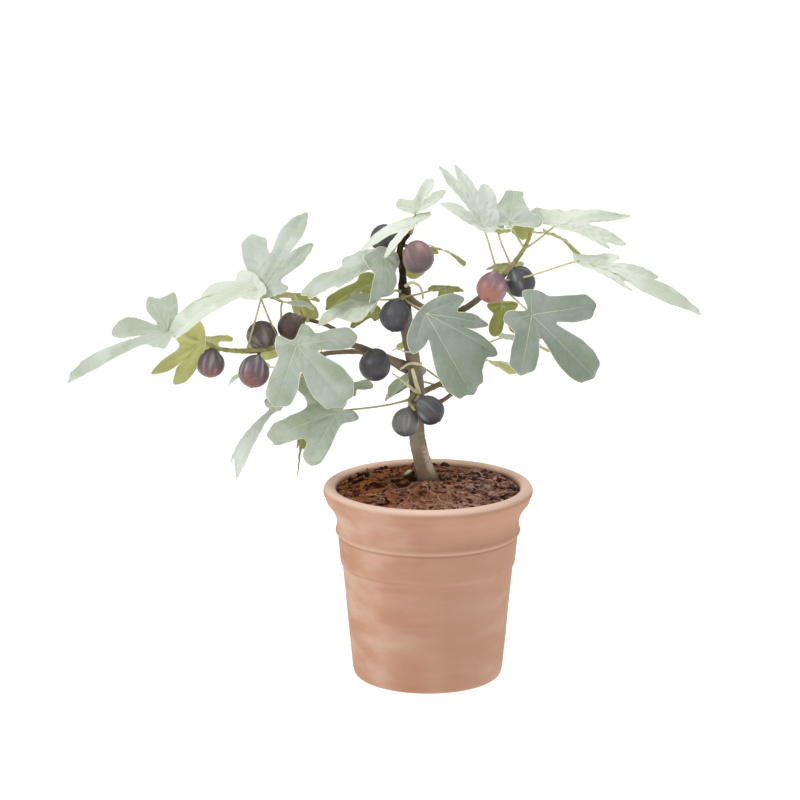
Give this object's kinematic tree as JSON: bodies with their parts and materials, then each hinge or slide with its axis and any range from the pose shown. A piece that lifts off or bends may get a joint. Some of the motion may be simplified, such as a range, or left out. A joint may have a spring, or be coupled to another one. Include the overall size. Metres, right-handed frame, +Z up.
{
  "type": "fig tree in a pot",
  "caption": "Young fig tree with a leaning trunk, long side boughs, lobed leaves and ripe figs, growing in a flared, banded terracotta pot of soil.",
  "frame": {"origin": "under the pot, in the middle of its flat base", "axes": "+Z up along the pot's axis; +X to the right as the plant faces its viewer, along its widest spread; +Y away from the viewer"},
  "size_m": [0.9654, 0.434, 0.807],
  "materials": {
    "terracotta": "matte",
    "soil": "matte",
    "bark": "matte",
    "foliage": "matte"
  },
  "bodies": {
    "root": {"pot": "terracotta", "soil": "soil", "trunk": "bark", "leader": "bark", "left_bough": "bark", "left_fork_bough": "bark", "left_back_bough": "bark", "right_bough": "bark", "back_right_bough": "bark", "back_low_bough": "bark", "crown_left_end": "foliage", "crown_left_low": "foliage", "crown_left_fork": "foliage", "crown_low_front": "foliage", "crown_mid_front": "foliage", "crown_leader_left": "foliage", "crown_leader_right": "foliage", "crown_top": "foliage", "crown_right_end": "foliage", "crown_back_right": "foliage", "crown_back_low": "foliage", "bough_fig": "foliage"}
  },
  "joints": []
}
